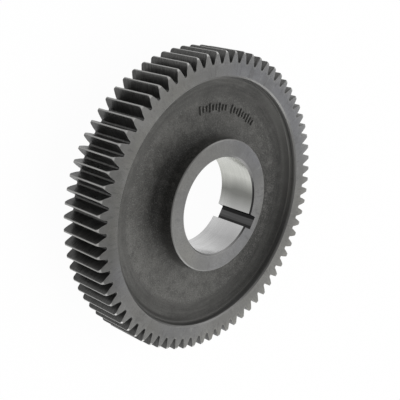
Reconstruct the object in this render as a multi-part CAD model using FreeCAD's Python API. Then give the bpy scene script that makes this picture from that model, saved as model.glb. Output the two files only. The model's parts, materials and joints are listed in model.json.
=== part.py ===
import FreeCAD, Part

import math
import os

# Keyed spur gear, forged and turned from one piece of steel, in millimetres.
# The gear lies flat: +Z is the bore axis and z = 0 is the back face of the rim.
# The keyway and the middle of one tooth lie on +X.

# Teeth: a ten-pitch series, cut deeper than standard so that more of them share the load
MODULE = 2.54
TOOTH_COUNT = 73
PRESSURE_ANGLE = 20.0
ADDENDUM_FACTOR = 1.45
DEDENDUM_FACTOR = 1.5
BACKLASH = 0.09
ROOT_FILLET = 0.95
TOOTH_END_CHAMFER = 0.9

# Rim, from the roots of the teeth inwards
FACE_WIDTH = 30.7
RIM_WALL = 8.5
RIM_BEVEL = 0.9

# Turned relief inside the rim on each side, which ends at the raw forging with a ledge
RELIEF_DEPTH = 4.5
RELIEF_DRAFT = 0.7
RELIEF_LEDGE = 0.85

# Forged web on each side: a steep wall below the ledge, a sloping shelf, then the floor
WALL_RUN = 2.85
WALL_DROP = 2.3
SHELF_RUN = 8.0
SHELF_DROP = 1.6

# Hub, which stands proud at the front and lies inside the rim at the back
HUB_WALL = 11.25
HUB_LENGTH = 29.0
HUB_PROUD = 3.6
HUB_EDGE = 0.6
HUB_DRAFT = 0.8
HUB_FILLET = 5.0
HUB_BACK_FOOT = 2.5

# Bore and keyway
BORE_DIAMETER = 63.0
BORE_CHAMFER = 1.0
KEYWAY_WIDTH = 9.0
KEYWAY_DEPTH = 6.0
KEYWAY_CORNER = 0.4

# Every cutter runs past the solid by this much
CUT_PAST = 0.8

# A root fillet is cut as this many flats, which stay within 0.03 mm of its arc
ROOT_FLATS = 3

# A blend takes at most this share of the straight side that is free for it
BLEND_SHARE = 0.96

PITCH_RADIUS = MODULE * TOOTH_COUNT / 2
BASE_RADIUS = PITCH_RADIUS * math.cos(math.radians(PRESSURE_ANGLE))
TIP_RADIUS = PITCH_RADIUS + ADDENDUM_FACTOR * MODULE
ROOT_RADIUS = PITCH_RADIUS - DEDENDUM_FACTOR * MODULE
HALF_PITCH = math.pi / TOOTH_COUNT

RIM_INNER_RADIUS = ROOT_RADIUS - RIM_WALL
RELIEF_RADIUS = RIM_INNER_RADIUS - RELIEF_DRAFT
LEDGE_RADIUS = RELIEF_RADIUS - RELIEF_LEDGE
SHELF_RADIUS = LEDGE_RADIUS - WALL_RUN
SHELF_DEPTH = RELIEF_DEPTH + WALL_DROP
FLOOR_RADIUS = SHELF_RADIUS - SHELF_RUN
FLOOR_DEPTH = SHELF_DEPTH + SHELF_DROP

BORE_RADIUS = BORE_DIAMETER / 2
HUB_RADIUS = BORE_RADIUS + HUB_WALL
HUB_FRONT = FACE_WIDTH + HUB_PROUD
HUB_BACK = HUB_FRONT - HUB_LENGTH

ORIGIN = FreeCAD.Vector(0, 0, 0)
UP = FreeCAD.Vector(0, 0, 1)


def in_section(radius, height):
    """Point of the blank's half section, which lies in the XZ plane."""
    return FreeCAD.Vector(radius, 0, height)


def under_hub(x, y):
    """Point at the height where the keyway cutter starts, just under the hub."""
    return FreeCAD.Vector(x, y, HUB_BACK - CUT_PAST)


def free_length(corner, neighbour):
    """Length of the side between two corners that the first one may use for its blend."""
    side = math.hypot(neighbour[0] - corner[0], neighbour[1] - corner[1])
    return side * BLEND_SHARE / (2 if neighbour[2] else 1)


def corner_blend(before, corner, after, place):
    """Start, middle and end of the tangent arc that rounds one corner."""
    here = place(corner[0], corner[1])
    back = (place(before[0], before[1]) - here).normalize()
    ahead = (place(after[0], after[1]) - here).normalize()
    half_angle = back.getAngle(ahead) / 2
    wanted = corner[2] / math.tan(half_angle)
    tangent = min(wanted, free_length(corner, before), free_length(corner, after))
    radius = tangent * math.tan(half_angle)
    inward = (back + ahead).normalize()
    middle = here + inward * (radius / math.sin(half_angle) - radius)
    return here + back * tangent, middle, here + ahead * tangent


def blended_face(corners, place):
    """Flat face through corners given as (u, v, blend radius), where 0 leaves a sharp one."""
    stretches = []
    for index, corner in enumerate(corners):
        if corner[2]:
            after = corners[(index + 1) % len(corners)]
            stretches.append(corner_blend(corners[index - 1], corner, after, place))
        else:
            stretches.append((place(corner[0], corner[1]),))
    edges = []
    for index, stretch in enumerate(stretches):
        if len(stretch) > 1:
            edges.append(Part.Arc(*stretch).toShape())
        following = stretches[(index + 1) % len(stretches)]
        edges.append(Part.LineSegment(stretch[-1], following[0]).toShape())
    return Part.Face(Part.Wire(edges))


def web_corners(hub_foot):
    """One side from the hub's foot to the tooth tips, as (radius, depth under the rim, blend)."""
    return [
        hub_foot,
        (FLOOR_RADIUS, FLOOR_DEPTH, 0),
        (SHELF_RADIUS, SHELF_DEPTH, 0),
        (LEDGE_RADIUS, RELIEF_DEPTH, 0),
        (RELIEF_RADIUS, RELIEF_DEPTH, 0),
        (RIM_INNER_RADIUS, RIM_BEVEL, 0),
        (RIM_INNER_RADIUS + RIM_BEVEL, 0, 0),
        (TIP_RADIUS - TOOTH_END_CHAMFER, 0, 0),
        (TIP_RADIUS, TOOTH_END_CHAMFER, 0),
    ]


def turned_blank():
    """The forging after turning: hub, web and rim, out to the tips of the teeth."""
    front_foot = (HUB_RADIUS + HUB_DRAFT, FLOOR_DEPTH, HUB_FILLET)
    back_foot = (HUB_RADIUS + HUB_BACK_FOOT, FLOOR_DEPTH, 0)
    front = [(radius, FACE_WIDTH - depth, blend) for radius, depth, blend in web_corners(front_foot)]
    hub_front = [
        (HUB_RADIUS, HUB_FRONT - HUB_EDGE, 0),
        (HUB_RADIUS - HUB_EDGE, HUB_FRONT, 0),
        (BORE_RADIUS + BORE_CHAMFER, HUB_FRONT, 0),
        (BORE_RADIUS, HUB_FRONT - BORE_CHAMFER, 0),
    ]
    hub_back = [
        (BORE_RADIUS, HUB_BACK + BORE_CHAMFER, 0),
        (BORE_RADIUS + BORE_CHAMFER, HUB_BACK, 0),
        (HUB_RADIUS - HUB_EDGE, HUB_BACK, 0),
        (HUB_RADIUS, HUB_BACK + HUB_EDGE, 0),
    ]
    outline = hub_back + web_corners(back_foot) + front[::-1] + hub_front
    return blended_face(outline, in_section).revolve(ORIGIN, UP, 360)


def keyway_cutter():
    """Straight broached slot on +X, right through the hub."""
    half_width = KEYWAY_WIDTH / 2
    bottom = BORE_RADIUS + KEYWAY_DEPTH
    corners = [
        (BORE_RADIUS / 2, -half_width, 0),
        (bottom, -half_width, KEYWAY_CORNER),
        (bottom, half_width, KEYWAY_CORNER),
        (BORE_RADIUS / 2, half_width, 0),
    ]
    return blended_face(corners, under_hub).extrude(UP * (HUB_LENGTH + 2 * CUT_PAST))


def roll_length(radius):
    """Length of the straight string unwound from the base circle at a radius."""
    return math.sqrt(max(radius ** 2 - BASE_RADIUS ** 2, 0))


def involute(angle):
    """Involute function of an angle in radians."""
    return math.tan(angle) - angle


def base_space_half_angle():
    """Half of the angle between two facing flanks where they leave the base circle."""
    pitch_thickness = math.pi * MODULE / 2 - BACKLASH
    pitch_half_angle = pitch_thickness / (2 * PITCH_RADIUS)
    return HALF_PITCH - pitch_half_angle - involute(math.radians(PRESSURE_ANGLE))


def space_half_angle(radius):
    """Half of the angle between two facing flanks at a radius."""
    return base_space_half_angle() + involute(math.atan2(roll_length(radius), BASE_RADIUS))


def under_rim(radius, angle):
    """Point at a radius and an angle from +X, where the tooth cutter starts under the rim."""
    return FreeCAD.Vector(radius * math.cos(angle), radius * math.sin(angle), -CUT_PAST)


def root_points():
    """Points of the upper root fillet, from the root circle to its tangent point on the flank."""
    fillet = min(ROOT_FILLET, space_half_angle(ROOT_RADIUS) * ROOT_RADIUS)
    # The fillet's centre lies on a curve parallel to the flank, which is an involute too
    centre_roll = roll_length(ROOT_RADIUS + fillet)
    flank_roll = centre_roll - fillet
    string_angle = base_space_half_angle() + flank_roll / BASE_RADIUS
    centre_angle = string_angle - math.atan2(centre_roll, BASE_RADIUS)
    centre = under_rim(ROOT_RADIUS + fillet, centre_angle)
    # The fillet turns from facing the bore axis to facing along the string
    start = centre_angle + math.pi
    sweep = (string_angle + math.pi / 2 - start) / ROOT_FLATS
    angles = [start + sweep * index for index in range(ROOT_FLATS + 1)]
    return [centre + FreeCAD.Vector(math.cos(a), math.sin(a), 0) * fillet for a in angles]


def mirrored(points):
    """The same points on the other side of +X, in reverse order."""
    return [FreeCAD.Vector(point.x, -point.y, point.z) for point in reversed(points)]


def tooth_space_cutter():
    """Prism of the space between two teeth, with its middle on +X."""
    root = root_points()
    touch_radius = math.hypot(root[-1].x, root[-1].y)
    outer_radius = TIP_RADIUS + CUT_PAST
    middle_radius = (touch_radius + outer_radius) / 2
    # One arc through three points of the involute departs from it by less than 0.02 mm
    flank = [
        root[-1],
        under_rim(middle_radius, space_half_angle(middle_radius)),
        under_rim(outer_radius, space_half_angle(outer_radius)),
    ]
    far_flank = mirrored(flank)
    root_line = mirrored(root) + root
    edges = [Part.LineSegment(a, b).toShape() for a, b in zip(root_line, root_line[1:])]
    edges.append(Part.Arc(*flank).toShape())
    edges.append(Part.Arc(flank[-1], under_rim(outer_radius, 0), far_flank[0]).toShape())
    edges.append(Part.Arc(*far_flank).toShape())
    return Part.Face(Part.Wire(edges)).extrude(UP * (FACE_WIDTH + 2 * CUT_PAST))


def tooth_spaces():
    """All the spaces between the teeth, the first half a pitch past +X."""
    spaces = []
    for index in range(TOOTH_COUNT):
        space = tooth_space_cutter()
        space.rotate(ORIGIN, UP, math.degrees(HALF_PITCH * (2 * index + 1)))
        spaces.append(space)
    return spaces


def gear():
    """The whole gear: a turned blank with its teeth and keyway cut."""
    return turned_blank().cut(tooth_spaces()).cut(keyway_cutter())


os.makedirs("parts", exist_ok=True)
gear().exportStep("parts/gear.step")
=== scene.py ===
import cmath
import json
import math

import bmesh
import bpy
import numpy as np
from mathutils import Matrix, Vector, noise


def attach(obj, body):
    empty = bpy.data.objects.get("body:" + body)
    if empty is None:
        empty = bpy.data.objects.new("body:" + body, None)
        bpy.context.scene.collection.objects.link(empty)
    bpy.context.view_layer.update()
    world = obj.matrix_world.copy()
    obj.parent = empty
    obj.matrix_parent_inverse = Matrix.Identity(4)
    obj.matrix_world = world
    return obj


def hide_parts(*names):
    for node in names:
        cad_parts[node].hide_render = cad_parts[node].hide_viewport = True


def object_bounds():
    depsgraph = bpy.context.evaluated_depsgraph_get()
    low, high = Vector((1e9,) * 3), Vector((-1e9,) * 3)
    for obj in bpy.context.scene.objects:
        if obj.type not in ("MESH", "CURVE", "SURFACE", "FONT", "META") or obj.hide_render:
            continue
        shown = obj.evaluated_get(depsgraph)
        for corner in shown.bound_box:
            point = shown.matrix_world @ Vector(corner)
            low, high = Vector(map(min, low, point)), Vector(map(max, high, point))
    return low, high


# Looks of a keyed spur gear that lies on the back face of its rim.
# +Z is the bore axis, and the keyway and the middle of one tooth lie on +X.
# Sizes and places are in millimetres. Points, textures and lights are made in metres from them.

MM = 0.001

# Teeth, with tips that are rounded off towards both rim faces, in steps at these turns
TOOTH_COUNT = 73
PRESSURE_ANGLE = math.radians(20)
DEDENDUM_FACTOR = 1.5
BACKLASH = 0.09
ROOT_FILLET = 0.95
TOOTH_END_ROUND = 1.8
TOOTH_END_TURNS = np.radians([0.0, 16.0, 35.0, 54.0, 72.0])
TIP_CORNER = 0.12
EDGE_BREAK = 0.07

# Rim and turned relief
RIM_WALL = 8.5
RIM_BEVEL = 0.9
RELIEF_DEPTH = 4.5
RELIEF_DRAFT = 0.7
RELIEF_LEDGE = 0.85

# Forged web, with the blends of the die
WALL_RUN = 2.85
WALL_DROP = 2.3
SHELF_RUN = 8.0
SHELF_DROP = 1.6
SHELF_BLEND = 3.5
FLOOR_BLEND = 30.0

# Gentle unevenness of the forging: a broad and a fine swell that fade out at machined edges.
# The offset makes the back differ from the front.
WEB_SWELL = 0.16
WEB_SWELL_SIZE = 22.0
FINE_SWELL_SIZE = WEB_SWELL_SIZE / 5
FINE_SWELL_SHARE = 0.35
SWELL_SIDE_OFFSET = 60.0
WEB_FADE = 4.0

# Hub, bore and keyway
HUB_RADIUS = 42.75
HUB_EDGE = 0.6
HUB_DRAFT = 0.8
HUB_FILLET = 5.0
HUB_BACK_FILLET = 2.0
BORE_CHAMFER = 1.0
KEYWAY_WIDTH = 9.0
KEYWAY_DEPTH = 6.0
KEYWAY_CORNER = 0.4

# Raised ticks that the forging die leaves on the web, on one arc round the hub
MARK_RADIUS = 60.5
MARK_HEIGHT = 0.85
MARK_SINK = 0.5
MARK_EDGE = 0.25
MARK_RIDGE = 0.01
MARK_END_POINTS = 7
MARK_START = math.radians(129)
MARK_STEP = math.radians(-2.75)
MARK_PATTERN = (
    "long", "short", "short", "long", "short", "short", "long", "short", "short", "gap",
    "long", "short", "short", "long", "short", "short", "long", "short", "short",
)
MARK_SIZES = {"long": (5.4, 1.3), "short": (3.6, 1.3)}

# Mesh resolution. At the hub, the inner columns are gathered over the keyway's floor, corners and
# sides. They are even from a margin inside the edge of the web's floor outwards. The hub face has
# rings at shares of its width.
INNER_COLUMNS = 438
KEY_FLOOR_COLUMNS = 5
KEY_CORNER_COLUMNS = 2
KEY_SIDE_COLUMNS = 3
KEY_COLUMNS = KEY_FLOOR_COLUMNS + KEY_CORNER_COLUMNS + KEY_SIDE_COLUMNS
GATHER_MARGIN = 8.0
HUB_FACE_SHARES = (0, 0.04, 0.35, 0.65, 0.96, 1)
ARC_STEP = math.radians(11)
ROOT_ARC_POINTS = 5
FLANK_POINTS = 5
WEB_STEP = 1.6
PLAIN_STEP = 3.0
ROW_PAST_ROUND = 1.6
INNER_SEAM = 84.0
OUTER_SEAM = 86.5
SHARP_ANGLE = math.radians(32)
WELD_DISTANCE = 0.001
TOLERANCE = 1e-6

# Edge wear: the widths it takes beside the bevel and under the tips, and its shares there
RIM_WEAR_WIDTH = 0.4
TIP_WEAR_WIDTH = 1.5 * TIP_CORNER
TIP_WEAR = 0.8
TOOTH_END_WEAR = 0.6

# Scales of the textures, in marks per metre. Where there are three, they are across the rings of
# the gear, along them and up its axis, apart from the broached keyway's, which are along X, Y and Z.
GRAIN_SCALE = 1500.0
STAIN_SCALE = 42.0
TINT_SCALE = 14.0
TURNING_SCALE = (2600.0, 60.0, 2600.0)
COARSE_TURNING_SCALE = (800.0, 60.0, 800.0)
SCUFF_SCALE = (90.0, 520.0, 90.0)
SCRATCH_SCALE = (130.0, 2400.0, 130.0)
PATCH_SCALE = 30.0
BLOTCH_SCALE = 170.0
PEENING_SCALE = 620.0
PIT_SCALE = 420.0
SHELF_STREAK_SCALE = (620.0, 60.0, 400.0)
CUTTING_SCALE = (170.0, 60.0, 2000.0)
OIL_SCALE = 130.0
HONING_SCALE = (60.0, 20.0, 1100.0)
CLOUD_SCALE = 45.0
BROACHING_SCALE = (300.0, 900.0, 14.0)

# Length in metres that one radian along a ring counts as in a texture
TURNING_STRETCH = 0.02
SHELF_STREAK_STRETCH = 0.06
CUTTING_STRETCH = 0.09
HONING_STRETCH = 0.03

# Depths of the finest relief, which only shows in the light
TURNING_DEPTH = 0.012
TURNED_GRAIN_DEPTH = 0.01
PIT_DEPTH = 0.08
PEENING_DEPTH = 0.12
FORGED_GRAIN_DEPTH = 0.05
CUTTING_DEPTH = 0.01
CUT_GRAIN_DEPTH = 0.012
HONING_DEPTH = 0.004
BROACHING_DEPTH = 0.02

# Red that full warmth adds, and roughness that the flanks lose between pitch circle and tip
WARM_RED = 0.2
FLANK_POLISH = 0.14

# Painted light and shade: slow changes of tone over the steel. Each row is an azimuth in degrees,
# the distances towards it between which the tone changes, the share of its level that it reaches
# (under 1 for painted shade, over 1 for painted light) and its warmth there.
RIM_DRIFTS = (
    (200, 66.0, 90.0, 0.72, 0.0),
    (207, 77.0, 86.0, 0.78, 0.0),
    (130, 74.0, 84.0, 0.87, 0.0),
    (250, 74.0, 84.0, 0.87, 0.0),
    (335, 40.0, 80.0, 1.0, 0.06),
    (82, 60.0, 82.0, 1.0, -0.03),
)
HUB_FACE_DRIFTS = ((270, 5.0, 38.0, 1.26, 0.0), (270, 20.0, 38.0, 0.98, 0.03))
HUB_EDGE_DRIFTS = ((180, 30.0, 43.0, 0.8, 0.0), (270, 20.0, 42.0, 1.15, 0.0))
BEVEL_DRIFTS = ((230, 52.0, 72.0, 0.36, 0.0), (0, 62.0, 78.0, 0.5, 0.0))
RELIEF_DRIFTS = ((240, 35.0, 78.0, 0.45, 0.0), (50, 56.0, 80.0, 2.2, 0.0))
LEDGE_DRIFTS = (*RELIEF_DRIFTS, (88, 62.0, 77.0, 0.38, 0.0))
MOUTH_DRIFTS = ((15, 24.0, 29.5, 0.12, 0.0),)
TIP_DRIFTS = ((180, 40.0, 96.0, 0.92, 0.0),)
FLANK_DRIFTS = (
    (115, 80.0, 92.0, 0.85, 0.0),
    (205, 80.0, 92.0, 0.87, 0.0),
    (240, 84.0, 92.0, 0.74, 0.0),
)

# Painted shade and painted light on the forging skin. Each row is an azimuth in degrees, the
# distances towards it between which it grows, the share it reaches, the radii between which it grows
# as well, and the factor of the level that it leads to: under 1 for shade, over 1 for light.
ANY_RADIUS = (0.0, 1.0)
WEB_SHADES = (
    (0, 0.0, 62.0, 1.0, (77.0, 70.0), 0.4),
    (84, 20.0, 65.0, 0.55, ANY_RADIUS, 0.4),
    (197, 36.0, 50.0, 0.55, (62.0, 52.0), 0.4),
    (268, 30.0, 60.0, 0.4, ANY_RADIUS, 1.8),
)
SLOPE_SHADES = (
    (50, 60.0, 73.0, 0.6, (73.0, 76.5), 1.7),
    (258, 60.0, 74.0, 0.75, (76.2, 77.6), 0.25),
)

# Painted shade on the forging skin: radii at the hub's foot, a patch round a place, radii on the
# shelf, and distances from the plane of the keyway between which the shade on the shelf grows
FOOT_SHADE = (51.8, 47.0)
FOOT_SHADE_SHARE = 0.6
SHADE_PATCH_PLACE = (-63.0, -2.0, 22.0)
SHADE_PATCH_REACH = (26.0, 8.0)
SHADE_PATCH_SHARE = 0.35
SHELF_SHADE = (68.2, 71.6)
SHELF_SHADE_RAGGED = 4.0
SHELF_SHADE_SHARES = (0.5, 0.6)
SIDE_SHADE = (30.0, 66.0)

# Painted reflections as dark bands along the bore: azimuth and half width in radians, and the share
# they reach. Their edges wander by an angle in radians, and an oily tint grows towards the first
# one.
BORE_REFLECTION_BANDS = (
    (math.radians(29), math.radians(24), 0.9),
    (math.radians(-31), math.radians(22), 0.3),
)
BORE_REFLECTION_WANDER = 0.25
BORE_OIL = (0.99, 1.0, 0.94, 1.0)

# Painted shade: dark lines along the keyway's corners, between these distances from its middle
KEYWAY_UPPER_SHADE = (1.9, 2.5)
KEYWAY_LOWER_SHADE = (-2.0, -2.4)

# Studio: even white light, a pale floor and soft suns. Each sun has a name, an azimuth and an
# elevation in degrees, a strength, a spread in degrees, and whether it lights glossy finish or
# matt finish.
WORLD_STRENGTH = 0.22
WHITE = (1.0, 1.0, 1.0, 1.0)
FLOOR_SIZE = 3000.0
FLOOR_DROP = 0.2
FLOOR_GLOW = 0.97
FLOOR_ALBEDO = 0.9
SUNS = (
    ("key", 18, 43, 2.4, 50, False),
    ("side", -32, 25, 1.8, 40, False),
    ("fill", 65, 10, 0.8, 40, False),
    ("glint_lower", 306, 12, 0.9, 50, True),
    ("glint_upper", 84, 22, 0.4, 40, True),
)

# Camera, at the photograph's viewing angle, with its azimuth and elevation in degrees
CAMERA_TARGET = (-16.27, -2.11, 30.7)
CAMERA_DISTANCE = 504.32
CAMERA_AZIMUTH = -174.32
CAMERA_ELEVATION = 40.71
CAMERA_ROLL = math.radians(109.04)
CAMERA_LENS = 73.91
CAMERA_SENSOR = 36.0

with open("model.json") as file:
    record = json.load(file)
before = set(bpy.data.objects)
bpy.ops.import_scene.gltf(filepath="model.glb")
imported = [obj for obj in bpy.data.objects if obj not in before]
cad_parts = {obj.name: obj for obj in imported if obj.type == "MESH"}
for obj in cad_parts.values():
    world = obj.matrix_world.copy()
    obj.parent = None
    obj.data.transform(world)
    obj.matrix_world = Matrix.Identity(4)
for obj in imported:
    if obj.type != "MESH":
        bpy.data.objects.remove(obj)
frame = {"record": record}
cad_box = [list(corner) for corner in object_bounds()]
mounts = {mount["name"]: mount for mount in frame["record"]["mounts"]}

# Sizes that come from the frame
TIP_RADIUS = cad_box[1][0] / MM
HUB_FRONT = cad_box[1][2] / MM
BORE_RADIUS = mounts["bore"]["dims"]["r_mm"]
PITCH_RADIUS = mounts["teeth"]["pos_m"][0] / MM
FACE_WIDTH = 2 * mounts["teeth"]["pos_m"][2] / MM
HUB_BACK = mounts["hub_back"]["pos_m"][2] / MM

MODULE = 2 * PITCH_RADIUS / TOOTH_COUNT
BASE_RADIUS = PITCH_RADIUS * math.cos(PRESSURE_ANGLE)
ROOT_RADIUS = PITCH_RADIUS - DEDENDUM_FACTOR * MODULE
HALF_PITCH = math.pi / TOOTH_COUNT
RIM_INNER_RADIUS = ROOT_RADIUS - RIM_WALL
RELIEF_RADIUS = RIM_INNER_RADIUS - RELIEF_DRAFT
LEDGE_RADIUS = RELIEF_RADIUS - RELIEF_LEDGE
SHELF_RADIUS = LEDGE_RADIUS - WALL_RUN
SHELF_DEPTH = RELIEF_DEPTH + WALL_DROP
FLOOR_RADIUS = SHELF_RADIUS - SHELF_RUN
FLOOR_DEPTH = SHELF_DEPTH + SHELF_DROP
KEYWAY_BOTTOM = BORE_RADIUS + KEYWAY_DEPTH
KEYWAY_HALF = KEYWAY_WIDTH / 2
EVEN_RADIUS = FLOOR_RADIUS - GATHER_MARGIN

ZONES = (
    "turned", "hub_face", "edge", "bevel", "relief", "ledge",
    "mouth", "forged", "flank", "tip", "bore", "keyway",
)


def rounded_line(corners):
    """Points, as complex numbers, of a line through (radius, height, blend) corners."""
    places = [complex(radius, height) for radius, height, blend in corners]
    line = [places[0]]
    for before, here, after, corner in zip(places, places[1:], places[2:], corners[1:]):
        if corner[2] == 0:
            line.append(here)
            continue
        arriving = (here - before) / abs(here - before)
        leaving = (after - here) / abs(after - here)
        turn = cmath.phase(leaving / arriving)
        start = here - arriving * corner[2] * math.tan(abs(turn) / 2)
        centre = start + arriving * 1j * math.copysign(corner[2], turn)
        pieces = max(2, math.ceil(abs(turn) / ARC_STEP))
        for index in range(pieces + 1):
            line.append(centre + (start - centre) * cmath.exp(1j * turn * index / pieces))
    line.append(places[-1])
    return line


def spaced(line, step):
    """The same line with each straight stretch cut into pieces no longer than a step."""
    points = [line[0]]
    for start, end in zip(line, line[1:]):
        pieces = max(1, math.ceil(abs(end - start) / step))
        points.extend(start + (end - start) * index / pieces for index in range(1, pieces + 1))
    return points


class GearMesh:
    """Rings of points round the bore axis, joined by strips of faces that each have a zone."""

    def __init__(self):
        self.points = []
        self.wear = []
        self.faces = []
        self.zones = []

    def ring(self, radii, angles, heights, wear=0.0):
        """Adds one closed ring and returns the numbers of its points."""
        first = len(self.points)
        radii, angles, heights, wear = np.broadcast_arrays(radii, angles, heights, wear)
        self.points.extend(zip(radii * np.cos(angles), radii * np.sin(angles), heights))
        self.wear.extend(wear)
        return np.arange(first, first + len(radii))

    def strip(self, ring, following, zones):
        """Joins two rings with equal numbers of points. Zones is one name or one per column."""
        ahead = np.roll(ring, -1)
        following_ahead = np.roll(following, -1)
        self.faces.extend(zip(ring, following, following_ahead, ahead))
        names = [zones] * len(ring) if isinstance(zones, str) else zones
        self.zones.extend(ZONES.index(name) for name in names)

    def seam(self, ring, following, zone):
        """Joins two rings with unequal numbers of points, both in order of angle from zero."""
        count, other_count = len(ring), len(following)
        here, there = 0, 0
        while here < count or there < other_count:
            start, other_start = ring[here % count], following[there % other_count]
            if (here + 1) * other_count <= (there + 1) * count:
                here += 1
                self.faces.append((start, other_start, ring[here % count]))
            else:
                there += 1
                self.faces.append((start, other_start, following[there % other_count]))
            self.zones.append(ZONES.index(zone))

    def build(self, name, materials):
        """The finished object, smooth apart from its real edges."""
        mesh = bpy.data.meshes.new(name)
        points = np.array(self.points, float) * MM
        faces = [tuple(int(number) for number in face) for face in self.faces]
        mesh.from_pydata(points.tolist(), [], faces)
        for zone in ZONES:
            mesh.materials.append(materials[zone])
        mesh.polygons.foreach_set("material_index", self.zones)
        wear = mesh.attributes.new("edge_wear", "FLOAT", "POINT")
        wear.data.foreach_set("value", np.array(self.wear, np.float32))
        mesh.polygons.foreach_set("use_smooth", [True] * len(faces))
        weld(mesh)
        mesh.set_sharp_from_angle(angle=SHARP_ANGLE)
        mesh.validate()
        mesh.update()
        piece = bpy.data.objects.new(name, mesh)
        bpy.context.scene.collection.objects.link(piece)
        return piece


def weld(mesh):
    """Joins points that fall together, which takes away faces without an area."""
    draft = bmesh.new()
    draft.from_mesh(mesh)
    bmesh.ops.remove_doubles(draft, verts=draft.verts, dist=WELD_DISTANCE * MM)
    draft.to_mesh(mesh)
    draft.free()


def keyway_angles():
    """Angles from +X of the columns over half the keyway: its floor, its corner and its side."""
    floor_end = math.atan2(KEYWAY_HALF - KEYWAY_CORNER, KEYWAY_BOTTOM)
    corner_end = math.atan2(KEYWAY_HALF, KEYWAY_BOTTOM - KEYWAY_CORNER)
    mouth = math.asin(KEYWAY_HALF / BORE_RADIUS)
    over_floor = np.linspace(0, floor_end, KEY_FLOOR_COLUMNS + 1)
    over_corner = np.linspace(floor_end, corner_end, KEY_CORNER_COLUMNS + 1)[1:]
    over_side = np.linspace(corner_end, mouth, KEY_SIDE_COLUMNS + 1)[1:]
    return np.concatenate([over_floor, over_corner, over_side])


def bore_outline(angle):
    """Radius of the bore's outline with its keyway, at an angle from +X."""
    sine, cosine = abs(math.sin(angle)), math.cos(angle)
    if cosine < 0 or sine * BORE_RADIUS >= KEYWAY_HALF - TOLERANCE:
        return BORE_RADIUS
    corner = complex(KEYWAY_BOTTOM - KEYWAY_CORNER, KEYWAY_HALF - KEYWAY_CORNER)
    along = corner.real * cosine + corner.imag * sine
    room = along ** 2 - abs(corner) ** 2 + KEYWAY_CORNER ** 2
    reach = along + math.sqrt(max(room, 0))
    if reach * cosine > corner.real and reach * sine > corner.imag and room > 0:
        return reach
    return min(KEYWAY_BOTTOM / cosine, KEYWAY_HALF / max(sine, TOLERANCE))


def column_angles():
    """Even angles of the inner columns, and the same columns gathered round the keyway."""
    even = np.arange(INNER_COLUMNS) * 2 * math.pi / INNER_COLUMNS
    gathered = even.copy()
    half = keyway_angles()
    gathered[:KEY_COLUMNS + 1] = half
    gathered[-KEY_COLUMNS:] = 2 * math.pi - half[:0:-1]
    return even, gathered


EVEN_ANGLES, KEYED_ANGLES = column_angles()
INNER_OUTLINE = np.array([bore_outline(angle) for angle in KEYED_ANGLES])


def angles_at(radius):
    """Angles of the inner columns at a radius: gathered at the hub, even from mid web outwards."""
    share = min(max((EVEN_RADIUS - radius) / (EVEN_RADIUS - HUB_RADIUS), 0), 1)
    return EVEN_ANGLES + (KEYED_ANGLES - EVEN_ANGLES) * share


def web_swell(radius, angle, side):
    """Height of the forging's gentle unevenness at a place on one side of the web."""
    offset = SWELL_SIDE_OFFSET * side
    place = Vector((radius * math.cos(angle), radius * math.sin(angle), offset))
    broad = noise.noise(place / WEB_SWELL_SIZE)
    fine = noise.noise(place / FINE_SWELL_SIZE)
    return WEB_SWELL * (broad + FINE_SWELL_SHARE * fine)


def bore_wall(gear):
    """Front and back rings of the bore and keyway, joined along the bore."""
    chamfer = np.maximum(0, BORE_CHAMFER - (INNER_OUTLINE - BORE_RADIUS))
    front = gear.ring(INNER_OUTLINE, KEYED_ANGLES, HUB_FRONT - chamfer, 1.0)
    back = gear.ring(INNER_OUTLINE, KEYED_ANGLES, HUB_BACK + chamfer, 1.0)
    in_keyway = INNER_OUTLINE > BORE_RADIUS + TOLERANCE
    touches_keyway = in_keyway | np.roll(in_keyway, -1)
    zones = ["keyway" if inside else "bore" for inside in touches_keyway]
    gear.strip(back, front, zones)
    return front, back


def hub_face(gear, bore_ring, height):
    """Chamfer and flat face of the hub, and the ring at the start of its outer edge."""
    start = np.maximum(INNER_OUTLINE, BORE_RADIUS + BORE_CHAMFER)
    end = HUB_RADIUS - HUB_EDGE
    rings = [bore_ring]
    for share in HUB_FACE_SHARES:
        wear = 1.0 if share in (0, 1) else 0.0
        rings.append(gear.ring(start + (end - start) * share, KEYED_ANGLES, height, wear))
    return rings


def web_line(rim_face, hub_face_height, side, fillet):
    """Stretches of one side's section from the hub's edge to the rim face, each with its zone.

    Side is 1 for the front and -1 for the back.
    """
    floor = rim_face - side * FLOOR_DEPTH
    hub_wall_top = hub_face_height - side * HUB_EDGE
    hub_edge = [complex(HUB_RADIUS - HUB_EDGE, hub_face_height), complex(HUB_RADIUS, hub_wall_top)]
    ledge = complex(LEDGE_RADIUS, rim_face - side * RELIEF_DEPTH)
    relief_foot = complex(RELIEF_RADIUS, rim_face - side * RELIEF_DEPTH)
    bevel_foot = complex(RIM_INNER_RADIUS, rim_face - side * RIM_BEVEL)
    bevel_top = complex(RIM_INNER_RADIUS + RIM_BEVEL, rim_face)
    past_bevel = bevel_top + RIM_WEAR_WIDTH
    forged = rounded_line([
        (HUB_RADIUS, hub_wall_top, 0),
        (HUB_RADIUS + HUB_DRAFT, floor, fillet),
        (FLOOR_RADIUS, floor, FLOOR_BLEND),
        (SHELF_RADIUS, rim_face - side * SHELF_DEPTH, SHELF_BLEND),
        (ledge.real, ledge.imag, 0),
    ])
    return [
        ("edge", hub_edge),
        ("forged", spaced(forged, WEB_STEP)),
        ("ledge", [ledge, relief_foot]),
        ("relief", spaced([relief_foot, bevel_foot], PLAIN_STEP)),
        ("bevel", [bevel_foot, bevel_top]),
        ("turned", [bevel_top, past_bevel, complex(INNER_SEAM, rim_face)]),
    ]


def forged_fade(line):
    """Share of the forging's unevenness at each point: none at the machined ends."""
    lengths = np.concatenate([[0], np.cumsum(np.abs(np.diff(line)))])
    return np.clip(np.minimum(lengths, lengths[-1] - lengths) / WEB_FADE, 0, 1)


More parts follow.
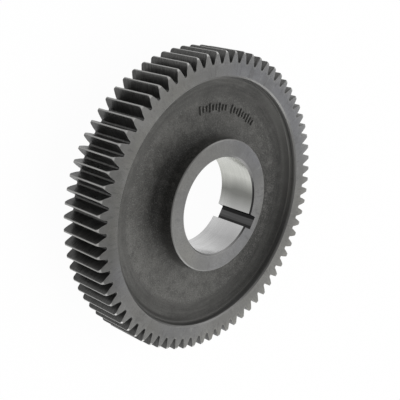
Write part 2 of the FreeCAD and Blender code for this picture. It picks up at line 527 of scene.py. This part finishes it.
def web_side(gear, edge_ring, stretches, side):
    """Rings from the hub's edge to the seam on the rim face, on one side of the gear."""
    rings = [edge_ring]
    zones = []
    for zone, line in stretches:
        swell = forged_fade(np.array(line)) if zone == "forged" else np.zeros(len(line))
        for place, share in list(zip(line, swell))[1:]:
            angles = angles_at(place.real)
            lift = np.zeros(len(angles))
            if share > 0:
                lift = np.array([web_swell(place.real, angle, side) for angle in angles])
            heights = place.imag + side * lift * share
            wear = 1.0 if place in (line[-1], line[0]) and zone != "turned" else 0.0
            rings.append(gear.ring(place.real, angles, heights, wear))
            zones.append(zone)
    return rings, zones


def roll_length(radius):
    """Length of the straight string unwound from the base circle at a radius."""
    return math.sqrt(max(radius ** 2 - BASE_RADIUS ** 2, 0))


def involute(angle):
    """Involute function of an angle in radians."""
    return math.tan(angle) - angle


def base_space_half_angle():
    """Half of the angle between two facing flanks where they leave the base circle."""
    pitch_half_angle = (math.pi * MODULE / 2 - BACKLASH) / (2 * PITCH_RADIUS)
    return HALF_PITCH - pitch_half_angle - involute(PRESSURE_ANGLE)


def space_half_angle(radius):
    """Half of the angle between two facing flanks at a radius."""
    return base_space_half_angle() + involute(math.atan2(roll_length(radius), BASE_RADIUS))


def rounding_steps():
    """Distances under the tip and under the rim face along the rounded end of a tooth."""
    turns = TOOTH_END_TURNS
    return TOOTH_END_ROUND * np.column_stack([1 - np.sin(turns), 1 - np.cos(turns)])


def half_space_outline():
    """Outline from the middle of a space to the middle of a tooth, with the space on +X."""
    fillet = min(ROOT_FILLET, space_half_angle(ROOT_RADIUS) * ROOT_RADIUS)
    centre_roll = roll_length(ROOT_RADIUS + fillet)
    flank_roll = centre_roll - fillet
    string_angle = base_space_half_angle() + flank_roll / BASE_RADIUS
    centre_angle = string_angle - math.atan2(centre_roll, BASE_RADIUS)
    centre = cmath.rect(ROOT_RADIUS + fillet, centre_angle)
    turns = np.linspace(centre_angle + math.pi, string_angle + math.pi / 2, ROOT_ARC_POINTS)
    arc = [centre + cmath.rect(fillet, turn) for turn in turns]
    below_tip = np.array([TOOTH_END_ROUND, *rounding_steps()[1:-1, 0], TIP_CORNER])
    flank_radii = np.concatenate([
        np.linspace(abs(arc[-1]), TIP_RADIUS - TOOTH_END_ROUND, FLANK_POINTS)[1:-1],
        TIP_RADIUS - below_tip,
    ])
    flank = [cmath.rect(radius, space_half_angle(radius)) for radius in flank_radii]
    tip_corner = cmath.rect(TIP_RADIUS, space_half_angle(TIP_RADIUS) + TIP_CORNER / TIP_RADIUS)
    tip_middle = cmath.rect(TIP_RADIUS, HALF_PITCH)
    return [complex(ROOT_RADIUS, 0), *arc, *flank, tip_corner, tip_middle]


def tooth_outline():
    """Outline of all the teeth, in order of angle from +X, where the first tooth has its middle."""
    half = half_space_outline()
    falling = [point.conjugate() for point in half[:0:-1]]
    one_pitch = falling + half[:-1]
    turned = [point * cmath.exp(1j * HALF_PITCH) for point in one_pitch]
    steps = [cmath.exp(2j * HALF_PITCH * index) for index in range(TOOTH_COUNT)]
    return np.array([point * step for step in steps for point in turned])


def tooth_rows():
    """Depths under a rim face of the rows near one end of the teeth."""
    return [*rounding_steps()[1:, 1], TOOTH_END_ROUND, TOOTH_END_ROUND + ROW_PAST_ROUND]


def teeth(gear):
    """Toothed surface, and the seam rings on the front and the back face of the rim."""
    outline = tooth_outline()
    tangents = np.roll(outline, -1) - np.roll(outline, 1)
    inset = outline + EDGE_BREAK * 1j * tangents / np.abs(tangents)
    angles = np.unwrap(np.angle(outline))
    radii = np.abs(outline)
    face_radii = np.minimum(np.abs(inset), TIP_RADIUS - TOOTH_END_ROUND)
    face_angles = np.unwrap(np.angle(inset))
    at_edge = radii > TIP_RADIUS - TIP_WEAR_WIDTH

    def row(depth, height):
        """Ring at a height and depth under the nearer rim face, and which points are rounded off."""
        short = max(TOOTH_END_ROUND - depth, 0)
        reach = TIP_RADIUS - TOOTH_END_ROUND + math.sqrt(TOOTH_END_ROUND ** 2 - short ** 2)
        on_turning = radii >= reach - TOLERANCE
        end_wear = TOOTH_END_WEAR if depth <= EDGE_BREAK else 0.0
        wear = np.where(at_edge | on_turning, TIP_WEAR, 0.0) + end_wear
        ring = gear.ring(np.minimum(radii, reach), angles, height, np.minimum(wear, 1.0))
        return ring, on_turning

    depths = tooth_rows()
    front_seam = gear.ring(OUTER_SEAM, angles, FACE_WIDTH)
    front_edge = gear.ring(face_radii, face_angles, FACE_WIDTH, 1.0)
    gear.strip(front_seam, front_edge, "turned")
    heights = [FACE_WIDTH - depth for depth in depths] + [FACE_WIDTH / 2] + depths[::-1]
    previous, was_turned = front_edge, np.zeros(len(radii), bool)
    for height in heights:
        ring, on_turning = row(min(height, FACE_WIDTH - height), height)
        both = was_turned & on_turning
        tip = both & np.roll(both, -1)
        gear.strip(previous, ring, ["tip" if turned else "flank" for turned in tip])
        previous, was_turned = ring, on_turning
    back_edge = gear.ring(face_radii, face_angles, 0.0, 1.0)
    gear.strip(previous, back_edge, "flank")
    back_seam = gear.ring(OUTER_SEAM, angles, 0.0)
    gear.strip(back_edge, back_seam, "turned")
    return front_seam, back_seam


def gear_body(materials):
    """The whole gear as one closed mesh."""
    gear = GearMesh()
    front_bore, back_bore = bore_wall(gear)
    front_seam, back_seam = teeth(gear)
    sides = (
        (1, front_bore, HUB_FRONT, HUB_FILLET, FACE_WIDTH, front_seam),
        (-1, back_bore, HUB_BACK, HUB_BACK_FILLET, 0.0, back_seam),
    )
    for side, bore_ring, hub_height, fillet, rim_height, outer_seam in sides:
        face_rings = hub_face(gear, bore_ring, hub_height)
        stretches = web_line(rim_height, hub_height, side, fillet)
        web_rings, zones = web_side(gear, face_rings[-1], stretches, side)
        face_zones = ["mouth"] + ["hub_face"] * (len(face_rings) - 2)
        rings = face_rings + web_rings[1:]
        # On the back, the two rings of a pair change places so that faces look outwards
        for ring, following, zone in zip(rings, rings[1:], face_zones + zones):
            gear.strip(*(ring, following)[::side], zone)
        gear.seam(*(rings[-1], outer_seam)[::side], "turned")
    return gear.build("gear_body", materials)


def stadium(length, width, pieces):
    """Outline of a rounded bar that lies along its length, as complex numbers."""
    radius = width / 2
    reach = max(length / 2 - radius, 0)
    angles = np.linspace(-math.pi / 2, math.pi / 2, pieces)
    right = [reach + cmath.rect(radius, angle) for angle in angles]
    return right + [-point for point in right]


def forging_marks(materials):
    """Raised ticks on the front web, their feet sunk in it."""
    marks = GearMesh()
    floor = FACE_WIDTH - FLOOR_DEPTH
    for index, kind in enumerate(MARK_PATTERN):
        if kind == "gap":
            continue
        length, width = MARK_SIZES[kind]
        angle = MARK_START + MARK_STEP * index
        centre = cmath.rect(MARK_RADIUS, angle)
        base = floor + web_swell(MARK_RADIUS, angle, 1)
        top = base + MARK_HEIGHT
        # How far the outline grows past the tick's own, at each height from its foot to its ridge
        layers = (
            (2 * MARK_EDGE, base - MARK_SINK),
            (MARK_EDGE, base + MARK_EDGE),
            (0.0, top - MARK_EDGE),
            (-MARK_EDGE, top),
            (MARK_RIDGE - width / 2, top + MARK_EDGE / 4),
        )
        rings = []
        for grow, height in layers:
            outline = stadium(length + 2 * grow, width + 2 * grow, MARK_END_POINTS)
            placed = centre + np.array(outline) * cmath.exp(1j * angle)
            wear = 1.0 if grow <= 0 else 0.0
            rings.append(marks.ring(np.abs(placed), np.angle(placed), height, wear))
        for ring, following in zip(rings, rings[1:]):
            marks.strip(following, ring, "forged")
        marks.faces.append(tuple(rings[-1]))
        marks.faces.append(tuple(rings[0][::-1]))
        marks.zones.extend([ZONES.index("forged")] * 2)
    return marks.build("forging_marks", materials)


def heading(azimuth, elevation=0.0):
    """Unit vector towards an azimuth from +X and an elevation, both in degrees."""
    turn, rise = math.radians(azimuth), math.radians(elevation)
    level = math.cos(rise)
    return Vector((level * math.cos(turn), level * math.sin(turn), math.sin(rise)))


def grey(level, warmth=0.0):
    """Grey of a linear level. Warmth takes a share of its blue away and adds a little red."""
    return (level * (1 + WARM_RED * warmth), level, level * (1 - warmth), 1.0)


class Recipe:
    """Node tree of one material. Each call adds nodes and returns what they give."""

    def __init__(self, name):
        self.material = bpy.data.materials.new(name)
        self.material.use_nodes = True
        self.tree = self.material.node_tree
        self.shader = self.tree.nodes["Principled BSDF"]

    def feed(self, socket, value):
        """Links an output to a socket, or sets the socket to a constant."""
        if isinstance(value, bpy.types.NodeSocket):
            self.tree.links.new(value, socket)
        else:
            socket.default_value = value

    def add(self, kind, inputs, output=0, **settings):
        """One output of a new node of a kind."""
        node = self.tree.nodes.new("ShaderNode" + kind)
        for name, value in settings.items():
            setattr(node, name, value)
        for socket, value in inputs.items():
            self.feed(node.inputs[socket], value)
        return node.outputs[output]

    def math(self, operation, first, second=0.0):
        """Result of one operation on two numbers."""
        return self.add("Math", {0: first, 1: second}, operation=operation)

    def parts(self, vector):
        """The three numbers of a vector."""
        node = self.tree.nodes.new("ShaderNodeSeparateXYZ")
        self.feed(node.inputs[0], vector)
        return node.outputs

    def place(self):
        """Position in the gear's frame, in metres."""
        return self.add("TexCoord", {}, output="Object")

    def ring_place(self, stretch=1.0):
        """Position as radius, angle along the ring and height, for marks that run round the axis."""
        x, y, z = self.parts(self.place())
        squares = self.math("ADD", self.math("MULTIPLY", x, x), self.math("MULTIPLY", y, y))
        radius = self.math("SQRT", squares)
        angle = self.math("MULTIPLY", self.math("ARCTAN2", y, x), stretch)
        return self.add("CombineXYZ", {0: radius, 1: angle, 2: z})

    def along(self, place, azimuth):
        """Distance of a place from the axis towards an azimuth in degrees, in metres."""
        inputs = {0: place, 1: heading(azimuth)}
        return self.add("VectorMath", inputs, output="Value", operation="DOT_PRODUCT")

    def noise(self, vector, scale, detail=3.0, roughness=0.5):
        """Soft noise over a vector. Scale is one number, or one for each part of the vector."""
        if isinstance(scale, tuple):
            vector = self.add("VectorMath", {0: vector, 1: scale}, operation="MULTIPLY")
            scale = 1.0
        inputs = {"Vector": vector, "Scale": scale, "Detail": detail, "Roughness": roughness}
        return self.add("TexNoise", inputs)

    def remap(self, value, low, high, to_low=0.0, to_high=1.0):
        """A number moved from the range low to high into another range, and held inside it."""
        inputs = {0: value, 1: low, 2: high, 3: to_low, 4: to_high}
        return self.add("MapRange", inputs, clamp=True)

    def remap_mm(self, value, reach, to_low=0.0, to_high=1.0):
        """The same for a length in metres, with its first range given in millimetres."""
        return self.remap(value, reach[0] * MM, reach[1] * MM, to_low, to_high)

    def blend(self, share, first, second, mode="MIX"):
        """Colour between the first and the second one."""
        inputs = {0: share, 6: first, 7: second}
        return self.add("Mix", inputs, output=2, data_type="RGBA", blend_type=mode)

    def layered(self, tone, layers):
        """A tone with layers over it.

        Each layer is a source, the values of it between which the layer grows, the share that it
        reaches and its colour.
        """
        for source, start, end, share, colour in layers:
            tone = self.blend(self.remap(source, start, end, 0.0, share), tone, colour)
        return tone

    def drifted(self, tone, place, drifts):
        """A tone with painted light and shade, and warmth, that change slowly across the gear, by
        rows as in RIM_DRIFTS.
        """
        for azimuth, start, end, share, warmth in drifts:
            reached = self.remap_mm(self.along(place, azimuth), (start, end))
            tone = self.blend(reached, tone, grey(share, warmth), mode="MULTIPLY")
        return tone

    def shaded(self, tone, place, radius, shades, level, warmth):
        """A tone with painted shade and painted light over parts of the web, by rows as in
        WEB_SHADES.
        """
        for azimuth, start, end, share, radii, factor in shades:
            shade = self.remap_mm(self.along(place, azimuth), (start, end), 0.0, share)
            shade = self.math("MULTIPLY", shade, self.remap_mm(radius, radii))
            tone = self.blend(shade, tone, grey(level * factor, warmth))
        return tone

    def bump(self, height, depth, strength=1.0, before=None):
        """Normals of fine relief, its depth in millimetres, laid over the normals before."""
        inputs = {"Height": height, "Distance": depth * MM, "Strength": strength}
        if before is not None:
            inputs["Normal"] = before
        return self.add("Bump", inputs)

    def wear(self):
        """Share of edge wear that the mesh carries."""
        return self.add("Attribute", {}, output="Fac", attribute_name="edge_wear")

    def finish(self, **inputs):
        """The material, with the shader's named inputs fed."""
        for name, value in inputs.items():
            self.feed(self.shader.inputs[name.replace("_", " ")], value)
        return self.material


def turned_steel(name, level, drifts, warmth=0.03, metal=0.6, shine=0.36, wear_level=0.18,
                 ridges=0.0, scratched=0.0):
    """Lathe-turned steel: fine rings round the axis, cool and warm stains, paler edges and painted
    light and shade.

    Ridges is the share of coarse dark turning lines, and scratched that of long scratches.
    """
    recipe = Recipe(name)
    ring = recipe.ring_place(TURNING_STRETCH)
    place = recipe.place()
    stains = recipe.noise(place, STAIN_SCALE, 4.0, 0.6)
    tints = recipe.noise(place, TINT_SCALE, 2.0)
    grain = recipe.noise(place, GRAIN_SCALE, 2.0)
    rings = recipe.noise(ring, TURNING_SCALE, 2.0)
    coarse = recipe.noise(ring, COARSE_TURNING_SCALE, 2.0)
    scuffs = recipe.noise(ring, SCUFF_SCALE, 4.0, 0.7)
    scratches = recipe.noise(ring, SCRATCH_SCALE, 3.0, 0.6)

    def shade(factor, warmer=0.0):
        return grey(level * factor, warmth + warmer)

    tone = recipe.blend(recipe.remap(tints, 0.4, 0.6), shade(1.03, 0.05), shade(0.97, -0.07))
    tone = recipe.layered(tone, (
        (stains, 0.5, 0.68, 0.6, shade(0.72)),
        (stains, 0.46, 0.3, 0.6, shade(1.35, -0.03)),
        (rings, 0.3, 0.75, 0.35, shade(1.25)),
        (grain, 0.35, 0.7, 0.55, shade(0.65)),
        (scuffs, 0.57, 0.68, 0.55, shade(0.6)),
        (scuffs, 0.4, 0.3, 0.4, shade(1.5)),
        (scratches, 0.57, 0.67, scratched, shade(0.45)),
        (scratches, 0.4, 0.32, 0.6 * scratched, shade(1.5)),
        (coarse, 0.6, 0.4, ridges, shade(0.35)),
        (recipe.wear(), 0.2, 1.0, 0.75, grey(wear_level, warmth)),
    ))
    # Painted light and shade towards the azimuths of the drifts
    tone = recipe.drifted(tone, place, drifts)
    rough = recipe.remap(stains, 0.3, 0.7, shine - 0.06, shine + 0.06)
    normal = recipe.bump(rings, TURNING_DEPTH)
    normal = recipe.bump(grain, TURNED_GRAIN_DEPTH, before=normal)
    return recipe.finish(Base_Color=tone, Metallic=metal, Roughness=rough, Normal=normal)


def forged_steel(name, level, warmth):
    """Shot-blasted forging skin: dark, matt and softly mottled, with painted shade and light, darker
    on the shelf by the rim.
    """
    recipe = Recipe(name)
    place = recipe.place()
    radius = recipe.parts(recipe.ring_place())[0]
    across = recipe.parts(place)[1]
    patches = recipe.noise(place, PATCH_SCALE)
    blotches = recipe.noise(place, BLOTCH_SCALE, 3.0, 0.55)
    peening = recipe.noise(place, PEENING_SCALE, 3.0, 0.6)
    fine = recipe.noise(place, GRAIN_SCALE, 2.0, 0.6)
    ring = recipe.ring_place(SHELF_STREAK_STRETCH)
    streaks = recipe.noise(ring, SHELF_STREAK_SCALE, 3.0, 0.55)
    pits = recipe.add("TexVoronoi", {"Vector": place, "Scale": PIT_SCALE}, feature="SMOOTH_F1")

    def shade(factor):
        return grey(level * factor, warmth)

    tone = recipe.blend(recipe.remap(patches, 0.38, 0.62), shade(0.74), shade(1.26))
    # Painted shade at the hub's foot and in a patch beside the hub
    foot = recipe.remap_mm(radius, FOOT_SHADE, 0.0, FOOT_SHADE_SHARE)
    tone = recipe.blend(foot, tone, shade(0.4))
    ends = {0: place, 1: Vector(SHADE_PATCH_PLACE) * MM}
    away = recipe.add("VectorMath", ends, output="Value", operation="DISTANCE")
    tone = recipe.blend(recipe.remap_mm(away, SHADE_PATCH_REACH, 0.0, SHADE_PATCH_SHARE), tone, shade(0.4))
    # Painted shade and painted light over the web
    tone = recipe.shaded(tone, place, radius, WEB_SHADES, level, warmth)
    tone = recipe.layered(tone, (
        (blotches, 0.5, 0.75, 0.6, shade(1.6)),
        (blotches, 0.48, 0.28, 0.6, shade(0.5)),
        (peening, 0.5, 0.72, 0.5, shade(1.6)),
        (fine, 0.54, 0.72, 0.5, shade(2.6)),
        (fine, 0.46, 0.3, 0.5, shade(0.3)),
    ))
    # Painted shade on the shelf by the rim, with a ragged inner edge, streaked like forging scale
    ragged = recipe.math("ADD", radius, recipe.math("MULTIPLY", blotches, SHELF_SHADE_RAGGED * MM))
    shelf = recipe.remap_mm(ragged, SHELF_SHADE)
    aside = recipe.remap_mm(recipe.math("ABSOLUTE", across), SIDE_SHADE, *SHELF_SHADE_SHARES)
    scale = recipe.blend(recipe.remap(streaks, 0.38, 0.62), shade(0.38), shade(0.75))
    tone = recipe.blend(recipe.math("MULTIPLY", shelf, aside), tone, scale)
    # Painted shade and painted light on the slope by the rim
    tone = recipe.shaded(tone, place, radius, SLOPE_SHADES, level, warmth)
    tone = recipe.layered(tone, ((recipe.wear(), 0.2, 1.0, 0.15, shade(2.4)),))
    rough = recipe.remap(peening, 0.3, 0.7, 0.5, 0.7)
    normal = recipe.bump(pits, PIT_DEPTH, 0.8)
    normal = recipe.bump(peening, PEENING_DEPTH, before=normal)
    normal = recipe.bump(fine, FORGED_GRAIN_DEPTH, 0.9, before=normal)
    return recipe.finish(
        Base_Color=tone, Metallic=0.0, Roughness=rough, Normal=normal, Specular_IOR_Level=0.2,
    )


def cut_steel(name, level, warmth, metal, shine, wear_level, drifts):
    """Cut tooth flanks: fine lines along the teeth, oil-dark patches and paler edges, with painted
    light and shade.
    """
    recipe = Recipe(name)
    ring = recipe.ring_place(CUTTING_STRETCH)
    place = recipe.place()
    lines = recipe.noise(ring, CUTTING_SCALE, 3.0, 0.6)
    patches = recipe.noise(place, OIL_SCALE, 4.0, 0.6)
    fine = recipe.noise(place, GRAIN_SCALE, 2.0, 0.6)
    # Lighter towards the tip, a painted light out of the shade of the tooth gap, and smoother there
    polish_and_light = recipe.remap_mm(recipe.parts(ring)[0], (PITCH_RADIUS, TIP_RADIUS))

    def shade(factor):
        return grey(level * factor, warmth)

    tone = recipe.blend(recipe.remap(patches, 0.3, 0.7), shade(0.75), shade(1.25))
    tone = recipe.layered(tone, (
        (polish_and_light, 0.0, 1.0, 0.35, shade(2.0)),
        (lines, 0.5, 0.65, 0.65, shade(2.0)),
        (lines, 0.5, 0.36, 0.6, shade(0.4)),
        (fine, 0.5, 0.7, 0.35, shade(0.5)),
        (recipe.wear(), 0.3, 1.0, 0.8, grey(wear_level, warmth)),
    ))
    # Painted shade towards the azimuths of the drifts
    tone = recipe.drifted(tone, place, drifts)
    rough = recipe.remap(patches, 0.3, 0.7, shine - 0.07, shine + 0.07)
    rough = recipe.math("SUBTRACT", rough, recipe.math("MULTIPLY", polish_and_light, FLANK_POLISH))
    normal = recipe.bump(lines, CUTTING_DEPTH, 0.6)
    normal = recipe.bump(fine, CUT_GRAIN_DEPTH, 0.6, before=normal)
    return recipe.finish(Base_Color=tone, Metallic=metal, Roughness=rough, Normal=normal)


def honed_steel(name, level, shine):
    """Honed bore: bright and smooth, with faint lines round the axis and soft dark bands of painted
    reflection.
    """
    recipe = Recipe(name)
    angle = recipe.parts(recipe.ring_place())[1]
    lines = recipe.noise(recipe.ring_place(HONING_STRETCH), HONING_SCALE, 2.0)
    cloud = recipe.noise(recipe.place(), CLOUD_SCALE, 2.0)
    tone = recipe.blend(recipe.remap(cloud, 0.35, 0.65), grey(level * 0.9), grey(level * 1.12))
    tone = recipe.layered(tone, ((lines, 0.4, 0.65, 0.3, grey(level * 0.8)),))
    # Painted reflections: dark bands along the bore
    wander = recipe.math("MULTIPLY", recipe.math("SUBTRACT", cloud, 0.5), BORE_REFLECTION_WANDER)
    for middle, width, share in BORE_REFLECTION_BANDS:
        off_band = recipe.math("ABSOLUTE", recipe.math("SUBTRACT", angle, middle))
        off_band = recipe.math("ADD", off_band, wander)
        tone = recipe.layered(tone, ((off_band, width, 0.0, share, grey(level * 0.3)),))
    oily = recipe.remap(angle, 0.0, BORE_REFLECTION_BANDS[0][0])
    tone = recipe.blend(oily, tone, BORE_OIL, mode="MULTIPLY")
    rough = recipe.remap(cloud, 0.3, 0.7, shine - 0.04, shine + 0.04)
    normal = recipe.bump(lines, HONING_DEPTH, 0.5)
    return recipe.finish(Base_Color=tone, Metallic=1.0, Roughness=rough, Normal=normal)


def broached_steel(name, level, shine):
    """Broached keyway: streaks along the axis, with painted shade along its corners."""
    recipe = Recipe(name)
    place = recipe.place()
    across = recipe.parts(place)[1]
    streaks = recipe.noise(place, BROACHING_SCALE, 3.0, 0.6)
    tone = recipe.blend(recipe.remap(streaks, 0.35, 0.65), grey(level * 0.75), grey(level * 1.35))
    # Painted shade along the keyway's corners
    tone = recipe.blend(recipe.remap_mm(across, KEYWAY_UPPER_SHADE), tone, grey(level * 0.12))
    tone = recipe.blend(recipe.remap_mm(across, KEYWAY_LOWER_SHADE), tone, grey(level * 0.25))
    normal = recipe.bump(streaks, BROACHING_DEPTH, 0.6)
    return recipe.finish(Base_Color=tone, Metallic=0.7, Roughness=shine, Normal=normal)


def gear_materials():
    """One material for each zone of the gear."""
    relief_look = {"warmth": 0.05, "metal": 0.3, "shine": 0.5, "wear_level": 0.16, "ridges": 0.8}
    return {
        "turned": turned_steel(
            "turned_steel", 0.168, RIM_DRIFTS, shine=0.42, wear_level=0.2, scratched=0.45,
        ),
        "hub_face": turned_steel(
            "hub_face", 0.162, HUB_FACE_DRIFTS, warmth=0.01, shine=0.4, wear_level=0.26,
        ),
        "edge": turned_steel("turned_edge", 0.125, HUB_EDGE_DRIFTS),
        "bevel": turned_steel("rim_bevel", 0.125, BEVEL_DRIFTS),
        "relief": turned_steel("turned_relief", 0.1, RELIEF_DRIFTS, **relief_look),
        "ledge": turned_steel("turned_ledge", 0.1, LEDGE_DRIFTS, **relief_look),
        "mouth": turned_steel("bore_mouth", 0.15, MOUTH_DRIFTS, warmth=0.02, wear_level=0.16),
        "forged": forged_steel("forged_skin", level=0.08, warmth=0.055),
        "flank": cut_steel(
            "cut_flank", level=0.074, warmth=0.03, metal=0.6, shine=0.4, wear_level=0.32,
            drifts=FLANK_DRIFTS,
        ),
        "tip": turned_steel(
            "turned_tip", 0.3, TIP_DRIFTS, warmth=0.02, metal=0.8, wear_level=0.42,
        ),
        "bore": honed_steel("honed_bore", level=0.53, shine=0.2),
        "keyway": broached_steel("broached_keyway", level=0.092, shine=0.4),
    }


def white_to_camera(tree, light, white, output, share=1.0):
    """Feeds an output with light, and with a share of plain white for rays that are seen.

    These are camera, glossy and transmission rays.
    """
    path = tree.nodes.new("ShaderNodeLightPath")
    seen = path.outputs["Is Camera Ray"]
    for name in ("Is Glossy Ray", "Is Transmission Ray"):
        either = tree.nodes.new("ShaderNodeMath")
        either.operation = "MAXIMUM"
        tree.links.new(seen, either.inputs[0])
        tree.links.new(path.outputs[name], either.inputs[1])
        seen = either.outputs[0]
    part = tree.nodes.new("ShaderNodeMath")
    part.operation = "MULTIPLY"
    tree.links.new(seen, part.inputs[0])
    part.inputs[1].default_value = share
    mix = tree.nodes.new("ShaderNodeMixShader")
    tree.links.new(part.outputs[0], mix.inputs[0])
    tree.links.new(light.outputs[0], mix.inputs[1])
    tree.links.new(white.outputs[0], mix.inputs[2])
    tree.links.new(mix.outputs[0], output.inputs["Surface"])


def white_world(strength):
    """White background, with a dimmer even light on the object."""
    world = bpy.data.worlds.new("studio")
    bpy.context.scene.world = world
    world.use_nodes = True
    tree = world.node_tree
    light = tree.nodes["Background"]
    light.inputs["Color"].default_value = WHITE
    light.inputs["Strength"].default_value = strength
    white = tree.nodes.new("ShaderNodeBackground")
    white.inputs["Color"].default_value = WHITE
    white_to_camera(tree, light, white, tree.nodes["World Output"])


def pale_floor():
    """Plain pale floor under the gear that keeps its shadow."""
    half, level = FLOOR_SIZE * MM / 2, -FLOOR_DROP * MM
    mesh = bpy.data.meshes.new("floor")
    places = ((-half, -half), (half, -half), (half, half), (-half, half))
    mesh.from_pydata([(x, y, level) for x, y in places], [], [(0, 1, 2, 3)])
    material = bpy.data.materials.new("pale_floor")
    material.use_nodes = True
    tree = material.node_tree
    tree.nodes.remove(tree.nodes["Principled BSDF"])
    diffuse = tree.nodes.new("ShaderNodeBsdfDiffuse")
    diffuse.inputs["Color"].default_value = grey(FLOOR_ALBEDO)
    white = tree.nodes.new("ShaderNodeEmission")
    white_to_camera(tree, diffuse, white, tree.nodes["Material Output"], FLOOR_GLOW)
    mesh.materials.append(material)
    floor = bpy.data.objects.new("floor", mesh)
    bpy.context.scene.collection.objects.link(floor)


def soft_sun(name, azimuth, elevation, strength, spread, glossy):
    """Even soft light from a direction, on the glossy finish or else on the matt one."""
    sun = bpy.data.lights.new(name, "SUN")
    sun.energy = strength
    sun.angle = math.radians(spread)
    lamp = bpy.data.objects.new(name, sun)
    lamp.rotation_euler = heading(azimuth, elevation).to_track_quat("Z", "Y").to_euler()
    lamp.visible_glossy = glossy
    lamp.visible_diffuse = not glossy
    bpy.context.scene.collection.objects.link(lamp)


def camera():
    """Camera at the photograph's viewing angle."""
    view = bpy.data.cameras.new("camera")
    view.lens = CAMERA_LENS
    view.sensor_width = CAMERA_SENSOR
    item = bpy.data.objects.new("camera", view)
    outwards = heading(CAMERA_AZIMUTH, CAMERA_ELEVATION)
    place = (Vector(CAMERA_TARGET) + outwards * CAMERA_DISTANCE) * MM
    upright = outwards.to_track_quat("Z", "Y").to_matrix().to_4x4()
    item.matrix_world = Matrix.Translation(place) @ upright @ Matrix.Rotation(CAMERA_ROLL, 4, "Z")
    bpy.context.scene.collection.objects.link(item)
    bpy.context.scene.camera = item


materials = gear_materials()
body = gear_body(materials)
marks = forging_marks(materials)
for piece in (body, marks):
    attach(piece, "root")
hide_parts("gear")

white_world(WORLD_STRENGTH)
pale_floor()
for sun in SUNS:
    soft_sun(*sun)
camera()

bpy.context.scene.view_settings.view_transform = "Standard"
